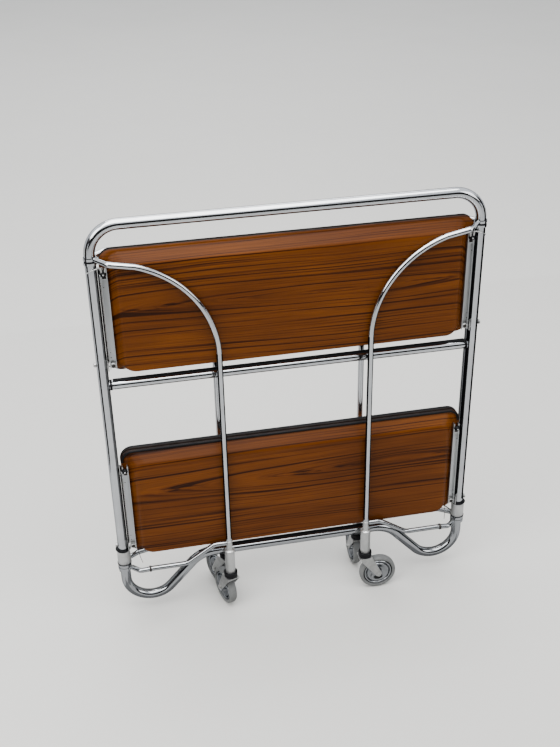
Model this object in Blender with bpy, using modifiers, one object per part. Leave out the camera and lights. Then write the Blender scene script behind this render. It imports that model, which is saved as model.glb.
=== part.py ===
"""Folding serving trolley, drawn folded.

A chrome hoop stands on a bent foot rail. Four tube gates hang on its uprights, two in front and
two behind, and each gate carries a swivel caster. Two pairs of dished tray leaves stand upright
between the gates. Sizes are in metres, X runs to the right, Y away from the viewer and Z up. The
hoop lies in the plane Y = 0 and the floor is Z = 0.
"""
import math

import bmesh
import bpy
from mathutils import Matrix, Vector

OBJECT_NAME = "folding_serving_trolley"

# Clearances and drawing steps
gap = 0.0003
run_gap = 0.0005
merge_distance = 0.00005
tube_sides = 12
slim_sides = 10
wire_sides = 6
wheel_sides = 28
round_sides = 20
small_sides = 12
bend_steps = 6
loop_steps = 8
arc_steps = 10
sharp_angle = math.radians(34)

# Hoop, foot rail and middle bar
tube_radius = 0.009
tube_wall = 0.0012
upright_x = 0.316
hoop_bend = 0.048
join_z = 0.1337
foot_low_z = 0.036
foot_loop_radius = 0.046
foot_rise = math.radians(48)
foot_bar_z = 0.117
foot_bar_bend = 0.060
mid_bar_radius = 0.008
saddle_radius = 0.0100
saddle_length = 0.0045

# Collars that join the hoop and the foot rail
collar_radius = 0.0118
collar_low_z = 0.1202
collar_high_z = 0.1480
collar_edge = 0.0008
liner_radius = 0.0102
lip_radius = 0.0137
lip_base_radius = 0.0121
lip_low_z = 0.1483
lip_flare_z = 0.1508
lip_high_z = 0.1515
liner_foot_radius = 0.0128
liner_foot_low_z = 0.1189
liner_foot_high_z = 0.1199

# Gates: one tube each, from the upright over a quarter circle and down to the caster
gate_radius = 0.005
gate_wall = 0.0010
gate_plane = 0.0285
gate_arc_radius = 0.176
gate_reach = 0.1885
gate_end_z = 0.1568
knee_in = 0.026
knee_bend = 0.011
bush_radius = 0.0112
bush_neck_radius = 0.0104
bush_height = 0.0145
bush_neck_drop = 0.0064
bush_neck_height = 0.0017
front_neck_drop = 0.0035
rear_neck_drop = 0.0110
arm_step = 0.0010
neck_room = 0.0019
neck_across = 0.674
neck_along = 0.7387
stile_radius = 0.0048
stile_depth = 0.0030
stile_room = 0.0028
stile_offset = 0.0195
stile_bend = 0.006

# Lower arms, with an eye round the foot rail's upright end
arm_radius = 0.0045
arm_neck_radius = 0.0027
eye_radius = 0.0122
eye_height = 0.0060
front_eye_z = 0.1155
rear_eye_z = 0.1085
arm_start = 0.0108
arm_neck_end = 0.0136
arm_full_at = 0.0190
arm_level_z = 0.1185
arm_level_in = 0.050
arm_rise_in = 0.111
arm_high_in = 0.161
arm_high_z = 0.152
arm_bend = 0.022

# Tray leaves: a flat rim with a dished face, held by a hinge pin at each lower corner
leaf_half_width = 0.3035
leaf_height = 0.212
leaf_corner = 0.020
leaf_back = 0.0015
leaf_rim = 0.0030
leaf_face = 0.0215
dish_half_width = 0.2920
dish_low = 0.0006
dish_high_margin = 0.0040
dish_side_slope = 0.0130
dish_low_slope = 0.0008
dish_high_slope = 0.0190
dish_corner = 0.024
dish_edge = 0.0045
dish_wall = 0.0025
dish_root = 0.0030
dish_mouth = 0.0005
lower_leaf_z = 0.151
level_gap = 0.158
top_room = 0.036
bar_room = 0.031
hinge_rise = 0.0095
hinge_depth = 0.0085

# Grey channels on the short rims
strip_inner_x = 0.2923
strip_outer_x = 0.3030
strip_back = 0.0048
strip_front = 0.0115
strip_wall = 0.0012
strip_low = 0.004
strip_short = 0.049

# Hinge brackets, spring clips, catches and stay rods
plate_inner_x = 0.3050
plate_outer_x = 0.3067
plate_half_depth = 0.013
plate_half_height = 0.0080
plate_edge = 0.0004
pin_radius = 0.0020
pin_hole_radius = 0.0023
pin_inner_x = 0.2947
shank_radius = 0.0020
bolt_radius = 0.0040
bolt_inner_x = 0.3253
bolt_outer_x = 0.3288
clip_height = 0.0195
clip_lap = 0.0010
clip_inner_x = 0.2925
clip_outer_x = 0.3029
clip_wall = 0.0020
clip_back = 0.0048
clip_front = 0.0112
catch_radius = 0.0010
catch_root = 0.0050
catch_rise = 0.0070
catch_x = 0.3036
catch_depth = 0.0095
catch_seat_x = 0.3056
catch_seat_depth = 0.0034
catch_bend = 0.0020
stay_radius = 0.0012
stay_outer_x = 0.3048
stay_low_z = 0.1294
stay_inner_x = 0.2740
stay_high_z = 0.1580

# Casters
sleeve_radius = 0.0053
sleeve_high_z = 0.1565
socket_radius = 0.0090
socket_high_z = 0.1365
socket_low_z = 0.0842
socket_round = 0.0025
kingpin_radius = 0.0040
kingpin_bore = 0.0044
kingpin_high_z = 0.1080
kingpin_bore_z = 0.1095
kingpin_root_z = 0.0745
cup_radius = 0.0125
cup_low_z = 0.0758
cup_web_z = 0.0832
cup_high_z = 0.0865
cup_edge = 0.0010
fork_plate_low_z = 0.0735
fork_plate_high_z = 0.0755
fork_half_length = 0.0125
fork_inner = 0.0100
fork_outer = 0.0115
fork_end_radius = 0.0060
fork_hole_radius = 0.0033
fork_end_steps = 8
fork_end_first = math.radians(208)
fork_end_last = math.radians(388)
trail = 0.025
wheel_radius = 0.035
wheel_half_width = 0.007
tyre_shoulder = 0.0018
tyre_inner = 0.0280
disc_radius = 0.0277
disc_rim_half = 0.0060
disc_ring_outer = 0.0258
disc_ring_inner = 0.0222
disc_ring_half = 0.0048
disc_dish_radius = 0.0120
disc_dish_half = 0.0034
hub_radius = 0.0075
hub_half = 0.0092
wheel_bore = 0.0034
axle_radius = 0.0030
axle_head_radius = 0.0042
axle_head_outer = 0.0142
axle_z = wheel_radius * math.cos(math.pi / wheel_sides)

# Heights that follow from the leaves, their spacing and the hoop's bend
upper_leaf_z = lower_leaf_z + leaf_height + level_gap
hoop_top_z = upper_leaf_z + leaf_height + top_room
mid_bar_z = upper_leaf_z - bar_room
bush_high_z = hoop_top_z - hoop_bend - run_gap
bush_low_z = bush_high_z - bush_height
bush_neck_high_z = bush_high_z - bush_neck_drop
bush_neck_low_z = bush_neck_high_z - bush_neck_height
front_neck_z = bush_high_z - front_neck_drop
rear_neck_z = bush_high_z - rear_neck_drop
gate_arc_z = front_neck_z - arm_step - gate_arc_radius
strip_high = leaf_height - strip_short
clip_low = strip_high - clip_lap
clip_high = clip_low + clip_height
catch_low = strip_high - catch_root
catch_high = strip_high + catch_rise

# Which way each caster trails, turned from +X as seen from above
headings = {
    ("front", "left"): math.radians(108),
    ("front", "right"): math.radians(0),
    ("rear", "left"): math.radians(118),
    ("rear", "right"): math.radians(90),
}
sides = {"left": -1, "right": 1}
faces = {"front": -1, "rear": 1}

# Colours: base colour, metallic share and roughness
CHROME = ((0.80, 0.81, 0.83), 1.0, 0.12)
SATIN = ((0.62, 0.64, 0.66), 1.0, 0.35)
ZINC = ((0.52, 0.54, 0.55), 1.0, 0.45)
BLACK = ((0.02, 0.02, 0.02), 0.0, 0.45)
TEAK = ((0.30, 0.12, 0.03), 0.0, 0.40)
TYRE = ((0.33, 0.34, 0.34), 0.0, 0.70)


for old in list(bpy.data.objects):
    bpy.data.objects.remove(old, do_unlink=True)
parts = bpy.data.collections.new(OBJECT_NAME)
cutters = bpy.data.collections.new("cutters")
bpy.context.scene.collection.children.link(parts)
bpy.context.scene.collection.children.link(cutters)


def made_mesh(source, name):
    """The mesh that an object's curve or modifiers give, with doubles merged."""
    bpy.context.view_layer.update()
    evaluated = source.evaluated_get(bpy.context.evaluated_depsgraph_get())
    mesh = bpy.data.meshes.new_from_object(evaluated)
    mesh.name = name
    bpy.data.objects.remove(source, do_unlink=True)
    bm = bmesh.new()
    bm.from_mesh(mesh)
    bmesh.ops.remove_doubles(bm, verts=bm.verts, dist=merge_distance)
    bm.to_mesh(mesh)
    bm.free()
    return mesh


def part(name, mesh, look, place=Vector(), heading=0.0):
    """One node of the assembly, with its own material."""
    colour, metallic, roughness = look
    material = bpy.data.materials.new(name)
    material.use_nodes = True
    shader = material.node_tree.nodes["Principled BSDF"]
    shader.inputs["Base Color"].default_value = (*colour, 1.0)
    shader.inputs["Metallic"].default_value = metallic
    shader.inputs["Roughness"].default_value = roughness
    mesh.name = name
    mesh.materials.clear()
    mesh.materials.append(material)
    mesh.shade_smooth()
    mesh.set_sharp_from_angle(angle=sharp_angle)
    result = bpy.data.objects.new(name, mesh)
    result.location = place
    result.rotation_euler = (0.0, 0.0, heading)
    parts.objects.link(result)
    return result


def cutter(name, mesh, target):
    """A hidden shape that a Boolean on the target uses."""
    result = bpy.data.objects.new(name, mesh)
    result.location = target.location
    result.rotation_euler = target.rotation_euler
    result.hide_render = True
    result.display_type = "WIRE"
    cutters.objects.link(result)
    return result


def combine(target, mesh, operation):
    """Join a mesh to the target or cut it away."""
    name = f"{target.name}_{operation.lower()}_{len(target.modifiers)}"
    modifier = target.modifiers.new(name, "BOOLEAN")
    modifier.operation = operation
    modifier.solver = "EXACT"
    modifier.object = cutter(name, mesh, target)


def rounded_path(corners, radii, steps):
    """Points through the corners, each inner corner turned on an arc of its own radius."""
    points = [Vector(corners[0])]
    for index, radius in enumerate(radii):
        before, here, after = (Vector(corners[index + shift]) for shift in (0, 1, 2))
        back = (before - here).normalized()
        ahead = (after - here).normalized()
        turn = math.pi - back.angle(ahead)
        reach = radius * math.tan(turn / 2)
        middle = here + (back + ahead).normalized() * radius / math.cos(turn / 2)
        spoke = here + back * reach - middle
        axis = spoke.cross(here + ahead * reach - middle).normalized()
        for step in range(steps + 1):
            points.append(middle + Matrix.Rotation(turn * step / steps, 3, axis) @ spoke)
    points.append(Vector(corners[-1]))
    return points


def swept(name, points, radius, ring_sides, shares=None, wall=None):
    """A round bar along the points, or a tube with open ends where a wall is given."""
    curve = bpy.data.curves.new(name, "CURVE")
    curve.dimensions = "3D"
    curve.bevel_depth = radius
    curve.bevel_resolution = (ring_sides - 4) // 2
    curve.use_fill_caps = wall is None
    spline = curve.splines.new("POLY")
    spline.points.add(len(points) - 1)
    for index, point in enumerate(points):
        spline.points[index].co = (*point, 1.0)
        spline.points[index].radius = shares[index] if shares else 1.0
    source = bpy.data.objects.new(name, curve)
    parts.objects.link(source)
    if wall is None:
        return made_mesh(source, name)
    open_tube = bpy.data.objects.new(name, made_mesh(source, name))
    parts.objects.link(open_tube)
    hollow = open_tube.modifiers.new("wall", "SOLIDIFY")
    hollow.thickness = wall
    hollow.offset = -1.0
    hollow.use_even_offset = True
    return made_mesh(open_tube, name)


def revolved(name, profile, steps, place=Vector()):
    """A profile of (radius, height) points turned round the Z axis, top to bottom."""
    mesh = bpy.data.meshes.new(name)
    edges = [(index, index + 1) for index in range(len(profile) - 1)]
    mesh.from_pydata([(radius, 0.0, height) for radius, height in profile], edges, [])
    source = bpy.data.objects.new(name, mesh)
    parts.objects.link(source)
    turn = source.modifiers.new("turn", "SCREW")
    turn.axis = "Z"
    turn.angle = 2 * math.pi
    turn.steps = steps
    turn.render_steps = steps
    turn.use_merge_vertices = True
    turn.merge_threshold = merge_distance
    result = made_mesh(source, name)
    result.transform(Matrix.Translation(place))
    return result


def ring_profile(inner, outer, low, high):
    """The closed outline of a plain ring."""
    return [(inner, high), (outer, high), (outer, low), (inner, low), (inner, high)]


def plate(name, outline, thickness):
    """A flat outline given thickness, lying in the XY plane."""
    curve = bpy.data.curves.new(name, "CURVE")
    curve.dimensions = "2D"
    curve.fill_mode = "BOTH"
    curve.extrude = thickness / 2
    spline = curve.splines.new("POLY")
    spline.points.add(len(outline) - 1)
    for index, (across, up) in enumerate(outline):
        spline.points[index].co = (across, up, 0.0, 1.0)
    spline.use_cyclic_u = True
    source = bpy.data.objects.new(name, curve)
    parts.objects.link(source)
    return made_mesh(source, name)


def boxes(name, spans):
    """Boxes between pairs of corners, as one mesh."""
    bm = bmesh.new()
    for one, other in spans:
        size = Vector(abs(a - b) for a, b in zip(one, other))
        middle = (Vector(one) + Vector(other)) / 2
        bmesh.ops.create_cube(
            bm, size=1.0, matrix=Matrix.Translation(middle) @ Matrix.Diagonal((*size, 1.0)))
    result = bpy.data.meshes.new(name)
    bm.to_mesh(result)
    bm.free()
    return result


def rods(name, spans, radius, ring_sides):
    """Straight round rods between pairs of points, as one mesh."""
    bm = bmesh.new()
    for start, end in spans:
        run = Vector(end) - Vector(start)
        turn = run.to_track_quat("Z", "Y").to_matrix().to_4x4()
        middle = (Vector(start) + Vector(end)) / 2
        bmesh.ops.create_cone(
            bm, cap_ends=True, segments=ring_sides, radius1=radius, radius2=radius,
            depth=run.length, matrix=Matrix.Translation(middle) @ turn)
    result = bpy.data.meshes.new(name)
    bm.to_mesh(result)
    bm.free()
    return result


def rounded_box_outline(half_width, low, high, corner, steps):
    """An upright rectangle's outline with rounded corners."""
    outline = []
    centres = [
        (half_width - corner, high - corner), (corner - half_width, high - corner),
        (corner - half_width, low + corner), (half_width - corner, low + corner)]
    for quarter, (across, up) in enumerate(centres):
        for step in range(steps + 1):
            angle = math.pi / 2 * (quarter + step / steps)
            outline.append((across + corner * math.cos(angle), up + corner * math.sin(angle)))
    return outline


# Hoop and foot rail: two bent tubes whose ends meet inside the collars
hoop_path = rounded_path(
    [(-upright_x, 0.0, join_z + gap / 2), (-upright_x, 0.0, hoop_top_z),
     (upright_x, 0.0, hoop_top_z), (upright_x, 0.0, join_z + gap / 2)],
    [hoop_bend, hoop_bend], bend_steps)
hoop = part(
    "hoop", swept("hoop", hoop_path, tube_radius, tube_sides, wall=tube_wall), CHROME)

loop_centre_x = upright_x - foot_loop_radius
loop_centre_z = foot_low_z + foot_loop_radius
rise_start_x = loop_centre_x - foot_loop_radius * math.sin(foot_rise)
rise_start_z = loop_centre_z - foot_loop_radius * math.cos(foot_rise)
foot_corner_z = rise_start_z - (upright_x - rise_start_x) * math.tan(foot_rise)
bar_corner_x = rise_start_x - (foot_bar_z - rise_start_z) / math.tan(foot_rise)
foot_path = rounded_path(
    [(-upright_x, 0.0, join_z - gap / 2), (-upright_x, 0.0, foot_corner_z),
     (-bar_corner_x, 0.0, foot_bar_z), (bar_corner_x, 0.0, foot_bar_z),
     (upright_x, 0.0, foot_corner_z), (upright_x, 0.0, join_z - gap / 2)],
    [foot_loop_radius, foot_bar_bend, foot_bar_bend, foot_loop_radius], loop_steps)
part("foot_rail", swept("foot_rail", foot_path, tube_radius, tube_sides, wall=tube_wall), CHROME)

# Middle bar, its ends hollowed to fit the uprights, with a dark saddle at each end
bar_path = [(-upright_x, 0.0, mid_bar_z), (upright_x, 0.0, mid_bar_z)]
mid_bar = part(
    "mid_bar", swept("mid_bar", bar_path, mid_bar_radius, tube_sides, wall=tube_wall), CHROME)
bar_ends = [mid_bar]
for side_name, side in sides.items():
    saddle = revolved(
        "saddle", ring_profile(mid_bar_radius + gap, saddle_radius, 0.0, tube_radius + saddle_length),
        small_sides)
    saddle.transform(Matrix.Rotation(-side * math.pi / 2, 4, "Y"))
    bar_ends.append(
        part(f"saddle_{side_name}", saddle, BLACK, Vector((side * upright_x, 0.0, mid_bar_z))))
for target in bar_ends:
    upright_spans = []
    for side in sides.values():
        for reach in (-1, 1):
            upright_spans.append(Vector((side * upright_x, 0.0, mid_bar_z)) - target.location
                                 + Vector((0.0, 0.0, reach * tube_radius * 2)))
    room = rods("upright_room", [upright_spans[:2], upright_spans[2:]], tube_radius + gap, round_sides)
    combine(target, room, "DIFFERENCE")

# Collars at the joint of hoop and foot rail: a metal ring with a stay rod, on a flanged liner
collar_profile = [
    (liner_radius + gap, collar_high_z), (collar_radius - collar_edge, collar_high_z),
    (collar_radius, collar_high_z - collar_edge), (collar_radius, collar_low_z + collar_edge),
    (collar_radius - collar_edge, collar_low_z), (liner_radius + gap, collar_low_z),
    (liner_radius + gap, collar_high_z)]
liner_profile = [
    (tube_radius + gap, lip_high_z), (lip_radius - collar_edge, lip_high_z),
    (lip_radius, lip_flare_z), (lip_base_radius, lip_low_z), (liner_radius, lip_low_z),
    (liner_radius, liner_foot_high_z), (liner_foot_radius, liner_foot_high_z),
    (liner_foot_radius, liner_foot_low_z), (tube_radius + gap, liner_foot_low_z),
    (tube_radius + gap, lip_high_z)]
bush_profile = [
    (tube_radius + gap, bush_high_z), (bush_radius, bush_high_z), (bush_radius, bush_neck_high_z),
    (bush_neck_radius, bush_neck_high_z), (bush_neck_radius, bush_neck_low_z),
    (bush_radius, bush_neck_low_z), (bush_radius, bush_low_z), (tube_radius + gap, bush_low_z),
    (tube_radius + gap, bush_high_z)]
for side_name, side in sides.items():
    foot = Vector((side * upright_x, 0.0, 0.0))
    collar = part(f"collar_{side_name}", revolved("collar", collar_profile, round_sides, foot), SATIN)
    stay = [((side * stay_outer_x, 0.0, stay_low_z), (side * stay_inner_x, 0.0, stay_high_z))]
    combine(collar, rods("stay", stay, stay_radius, slim_sides), "UNION")
    part(f"collar_liner_{side_name}", revolved("liner", liner_profile, round_sides, foot), BLACK)
    part(f"pivot_bush_{side_name}", revolved("bush", bush_profile, round_sides, foot), BLACK)

# Tray leaves, each with its origin on its hinge line
hinge_local_back = hinge_depth - leaf_back


def dish_block(name, inset, back, front, corner):
    """A block that narrows from the rim to the face, with rounded corners."""
    bm = bmesh.new()
    half_width = dish_half_width - inset
    low = dish_low + inset - hinge_rise
    high = leaf_height - dish_high_margin - inset - hinge_rise
    size = (2 * half_width, front - back, high - low)
    middle = Vector((0.0, hinge_depth - (front + back) / 2, (low + high) / 2))
    bmesh.ops.create_cube(
        bm, size=1.0, matrix=Matrix.Translation(middle) @ Matrix.Diagonal((*size, 1.0)))
    for vert in bm.verts:
        if vert.co.y < middle.y:
            vert.co.x -= math.copysign(dish_side_slope, vert.co.x)
            vert.co.z += dish_low_slope if vert.co.z < middle.z else -dish_high_slope
    corner_edges = [edge for edge in bm.edges if abs(edge.verts[0].co.y - edge.verts[1].co.y) > gap]
    bmesh.ops.bevel(
        bm, geom=corner_edges, offset=corner, offset_type="OFFSET", segments=bend_steps,
        profile=0.5, affect="EDGES", clamp_overlap=True, material=-1)
    edge_loop = [edge for edge in bm.edges
                 if all(abs(vert.co.y - (hinge_depth - front)) < merge_distance for vert in edge.verts)]
    bmesh.ops.bevel(
        bm, geom=edge_loop, offset=dish_edge, offset_type="OFFSET", segments=2,
        profile=0.5, affect="EDGES", clamp_overlap=True, material=-1)
    result = bpy.data.meshes.new(name)
    bm.to_mesh(result)
    bm.free()
    return result


for level_name, leaf_z in (("upper", upper_leaf_z), ("lower", lower_leaf_z)):
    for face_name, face in faces.items():
        name = f"{level_name}_{face_name}_leaf"
        rim_outline = rounded_box_outline(
            leaf_half_width, -hinge_rise, leaf_height - hinge_rise, leaf_corner, bend_steps)
        rim = plate(name, rim_outline, leaf_rim)
        rim.transform(Matrix.Rotation(math.pi / 2, 4, "X"))
        rim.transform(Matrix.Translation((0.0, hinge_local_back - leaf_rim / 2, 0.0)))
        leaf = part(
            name, rim, TEAK, Vector((0.0, face * hinge_depth, leaf_z + hinge_rise)),
            math.pi * (face > 0))
        combine(leaf, dish_block(name, 0.0, dish_root, leaf_face, dish_corner), "UNION")
        combine(
            leaf, dish_block(name, dish_wall, dish_mouth, leaf_face - dish_wall,
                             dish_corner - dish_wall), "DIFFERENCE")

# Channels on the short rims, each with a hinge pin hole, a spring clip and a catch, and the
# hinge bracket that a front and a rear leaf share: a plate, two pins and a bolt through the upright
bolt_rooms = []
for level_name, leaf_z in (("upper", upper_leaf_z), ("lower", lower_leaf_z)):
    pin_z = leaf_z + hinge_rise
    for side_name, side in sides.items():
        for face_name, face in faces.items():
            blank = ((side * strip_inner_x, face * strip_back, leaf_z + strip_low),
                     (side * strip_outer_x, face * strip_front, leaf_z + strip_high))
            groove = ((side * (strip_inner_x + strip_wall), face * (strip_back + strip_wall), leaf_z),
                      (side * (strip_outer_x - strip_wall), face * (strip_front + strip_wall),
                       leaf_z + strip_high + strip_low))
            pin_hole = ((side * (strip_inner_x + strip_wall * 2), face * hinge_depth, pin_z),
                        (side * plate_outer_x, face * hinge_depth, pin_z))
            clip_outline = [
                (clip_inner_x, clip_high), (clip_inner_x, clip_low), (clip_outer_x, clip_low),
                (clip_outer_x, clip_high), (clip_outer_x - clip_wall, clip_high),
                (clip_outer_x - clip_wall, clip_low + clip_wall),
                (clip_inner_x + clip_wall, clip_low + clip_wall),
                (clip_inner_x + clip_wall, clip_high)]
            clip = plate("clip", [(side * across, up) for across, up in clip_outline],
                         clip_front - clip_back - gap)
            clip.transform(Matrix.Rotation(math.pi / 2, 4, "X"))
            clip.transform(Matrix.Translation((0.0, face * (clip_front + clip_back) / 2, leaf_z)))
            catch_path = rounded_path(
                [(side * catch_x, face * catch_depth, leaf_z + catch_low),
                 (side * catch_x, face * catch_depth, leaf_z + catch_high),
                 (side * catch_seat_x, face * catch_seat_depth, leaf_z + catch_high)],
                [catch_bend], bend_steps // 2)
            strip = part(f"{level_name}_{face_name}_{side_name}_end_strip", boxes("strip", [blank]),
                         ZINC)
            combine(strip, boxes("groove", [groove]), "DIFFERENCE")
            combine(strip, rods("pin_hole", [pin_hole], pin_hole_radius, small_sides), "DIFFERENCE")
            combine(strip, clip, "UNION")
            combine(strip, swept("catch", catch_path, catch_radius, wire_sides), "UNION")
        bracket = part(
            f"{level_name}_hinge_bracket_{side_name}",
            boxes("hinge_plate", [((side * plate_inner_x, -plate_half_depth, pin_z - plate_half_height),
                                   (side * plate_outer_x, plate_half_depth,
                                    pin_z + plate_half_height))]),
            ZINC)
        pin_spans = [((side * pin_inner_x, face * hinge_depth, pin_z),
                      (side * (plate_outer_x - plate_edge), face * hinge_depth, pin_z))
                     for face in faces.values()]
        shank = ((side * (plate_inner_x + plate_edge), 0.0, pin_z), (side * bolt_outer_x, 0.0, pin_z))
        head = ((side * bolt_inner_x, 0.0, pin_z), (side * bolt_outer_x, 0.0, pin_z))
        combine(bracket, rods("pins", pin_spans, pin_radius, small_sides), "UNION")
        combine(bracket, rods("shank", [shank], shank_radius, small_sides), "UNION")
        combine(bracket, rods("head", [head], bolt_radius, small_sides), "UNION")
        bolt_rooms.append(((side * plate_inner_x, 0.0, pin_z), (side * bolt_outer_x, 0.0, pin_z)))
combine(hoop, rods("bolt_rooms", bolt_rooms, shank_radius + gap, small_sides), "DIFFERENCE")


def inward(side, face, point):
    """A point given as (in from the upright, out from the hoop plane, height)."""
    return Vector((-side * point[0], face * point[1], point[2]))


def gate_path(side, face):
    """Centre line of a gate tube, from its bush to its caster."""
    arc = []
    first = math.asin((knee_in - (gate_reach - gate_arc_radius)) / gate_arc_radius)
    for step in range(arc_steps + 1):
        angle = first + (math.pi / 2 - first) * step / arc_steps
        arc.append((gate_reach - gate_arc_radius + gate_arc_radius * math.sin(angle), gate_plane,
                    gate_arc_z + gate_arc_radius * math.cos(angle)))
    start = bush_radius + (neck_room if face < 0 else gap)
    if face < 0:
        neck = [(start * neck_across, start * neck_along, front_neck_z)]
        radii = [knee_bend]
    else:
        neck = [(0.0, start, rear_neck_z), (0.0, stile_offset, rear_neck_z)]
        radii = [stile_bend, knee_bend]
    corners = [inward(side, face, point) for point in neck + arc[:2]]
    rest = [inward(side, face, point) for point in arc[2:]]
    end = inward(side, face, (gate_reach, gate_plane, gate_end_z))
    return rounded_path(corners, radii, bend_steps // 2) + rest + [end]


def arm_path(side, face):
    """Centre line of a lower arm and its thickness shares, from its eye to the caster sleeve."""
    if face < 0:
        across, along, eye_z = neck_across, neck_along, front_eye_z
    else:
        across, along, eye_z = 0.0, 1.0, rear_eye_z
    near = [(across * reach, along * reach, eye_z) for reach in (arm_start, arm_neck_end)]
    far = [(across * arm_full_at, along * arm_full_at, eye_z),
           (knee_in, gate_plane, (eye_z + arm_level_z) / 2),
           (arm_level_in, gate_plane, arm_level_z),
           (arm_rise_in, gate_plane, arm_level_z),
           (arm_high_in, gate_plane, arm_high_z),
           (gate_reach - sleeve_radius - gap, gate_plane, arm_high_z)]
    near_points = [inward(side, face, point) for point in near]
    far_points = rounded_path(
        [inward(side, face, point) for point in far], [knee_bend, knee_bend, arm_bend, arm_bend],
        bend_steps // 2)
    shares = [arm_neck_radius / arm_radius] * len(near_points) + [1.0] * len(far_points)
    return near_points + far_points, shares


socket_profile = [
    (0.0, sleeve_high_z), (sleeve_radius, sleeve_high_z), (sleeve_radius, socket_high_z),
    (socket_radius, socket_high_z), (socket_radius, socket_low_z + socket_round),
    (socket_radius - socket_round, socket_low_z), (kingpin_bore, socket_low_z),
    (kingpin_bore, kingpin_bore_z), (0.0, kingpin_bore_z)]
cup_profile = [
    (kingpin_bore, cup_web_z), (socket_radius + run_gap, cup_web_z),
    (socket_radius + run_gap, cup_high_z), (cup_radius - cup_edge, cup_high_z),
    (cup_radius, cup_high_z - cup_edge), (cup_radius, cup_low_z), (kingpin_bore, cup_low_z),
    (kingpin_bore, cup_web_z)]
axle_half_profile = [
    (0.0, axle_head_outer), (axle_head_radius, axle_head_outer),
    (axle_head_radius, fork_outer + gap), (axle_radius, fork_outer + gap)]
tyre_half_profile = [
    (tyre_inner, wheel_half_width - tyre_shoulder), (tyre_inner + tyre_shoulder, wheel_half_width),
    (wheel_radius - tyre_shoulder, wheel_half_width), (wheel_radius, wheel_half_width - tyre_shoulder)]
disc_half_profile = [
    (wheel_bore, hub_half), (hub_radius, hub_half), (hub_radius, disc_dish_half),
    (disc_dish_radius, disc_dish_half), (disc_ring_inner, disc_ring_half),
    (disc_ring_outer, disc_ring_half), (disc_ring_outer, disc_rim_half),
    (disc_radius, disc_rim_half)]


def both_ways(half_profile, closed):
    """A profile and its mirror image below, closed back to its start if it is a ring."""
    mirrored = [(radius, -height) for radius, height in reversed(half_profile)]
    return half_profile + mirrored + ([half_profile[0]] if closed else [])


def on_axle(mesh):
    """Turn a revolved mesh onto the axle line, a flat facet lowest, at the wheel's height."""
    mesh.transform(Matrix.Rotation(math.pi / wheel_sides, 4, "Z"))
    mesh.transform(Matrix.Rotation(math.pi / 2, 4, "X"))
    return mesh


def fork_side_outline():
    """One side plate of a fork: wide under the top plate, round at the axle."""
    outline = [(-fork_half_length, fork_plate_high_z), (-fork_half_length, fork_plate_low_z)]
    for step in range(fork_end_steps + 1):
        angle = fork_end_first + (fork_end_last - fork_end_first) * step / fork_end_steps
        outline.append((trail + fork_end_radius * math.cos(angle),
                        axle_z + fork_end_radius * math.sin(angle)))
    outline += [(fork_half_length, fork_plate_low_z), (fork_half_length, fork_plate_high_z)]
    return outline


for face_name, face in faces.items():
    for side_name, side in sides.items():
        corner_name = f"{face_name}_{side_name}"
        pivot = Vector((side * upright_x, 0.0, 0.0))

        # Gate tube, with a stile behind the upright on a rear gate, and its lower arm
        gate = part(
            f"{corner_name}_gate_tube",
            swept("gate_tube", gate_path(side, face), gate_radius, slim_sides, wall=gate_wall),
            CHROME, pivot)
        eye_z = front_eye_z if face < 0 else rear_eye_z
        if face > 0:
            stile = [((0.0, stile_offset, rear_eye_z + arm_radius + stile_room),
                      (0.0, stile_offset, rear_neck_z - stile_depth))]
            combine(gate, rods("stile", stile, stile_radius, small_sides), "UNION")
        arm_points, arm_shares = arm_path(side, face)
        arm = part(f"{corner_name}_lower_arm",
                   swept("lower_arm", arm_points, arm_radius, slim_sides, arm_shares), CHROME, pivot)
        eye_profile = ring_profile(
            tube_radius + gap, eye_radius, eye_z - eye_height / 2, eye_z + eye_height / 2)
        combine(arm, revolved("eye", eye_profile, round_sides), "UNION")

        # Caster: the socket turns with the gate, the rest swivels under it
        swivel = pivot + inward(side, face, (gate_reach, gate_plane, 0.0))
        heading = headings[face_name, side_name]
        ahead = Matrix.Rotation(heading, 3, "Z") @ Vector((trail, 0.0, 0.0))
        axle_place = swivel + ahead + Vector((0.0, 0.0, axle_z))
        part(f"{corner_name}_socket", revolved("socket", socket_profile, round_sides), SATIN, swivel)
        part(f"{corner_name}_swivel_cup", revolved("swivel_cup", cup_profile, round_sides), BLACK,
             swivel, heading)
        fork = part(
            f"{corner_name}_fork",
            boxes("fork", [((-fork_half_length, -fork_outer, fork_plate_low_z),
                            (fork_half_length, fork_outer, fork_plate_high_z))]),
            ZINC, swivel, heading)
        for cheek in (-1, 1):
            cheek_plate = plate("cheek", fork_side_outline(), fork_outer - fork_inner)
            cheek_plate.transform(Matrix.Rotation(math.pi / 2, 4, "X"))
            cheek_plate.transform(
                Matrix.Translation((0.0, cheek * (fork_outer + fork_inner) / 2, 0.0)))
            combine(fork, cheek_plate, "UNION")
        kingpin_span = [((0.0, 0.0, kingpin_root_z), (0.0, 0.0, kingpin_high_z))]
        combine(fork, rods("kingpin", kingpin_span, kingpin_radius, small_sides), "UNION")
        hole_span = [((trail, -fork_outer * 2, axle_z), (trail, fork_outer * 2, axle_z))]
        combine(fork, rods("axle_hole", hole_span, fork_hole_radius, small_sides), "DIFFERENCE")
        part(f"{corner_name}_axle",
             on_axle(revolved("axle", both_ways(axle_half_profile, False), small_sides)), ZINC,
             axle_place, heading)
        part(f"{corner_name}_wheel_disc",
             on_axle(revolved("wheel_disc", both_ways(disc_half_profile, True), wheel_sides)), CHROME,
             axle_place, heading)
        part(f"{corner_name}_tyre",
             on_axle(revolved("tyre", both_ways(tyre_half_profile, True), wheel_sides)), TYRE,
             axle_place, heading)
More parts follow.
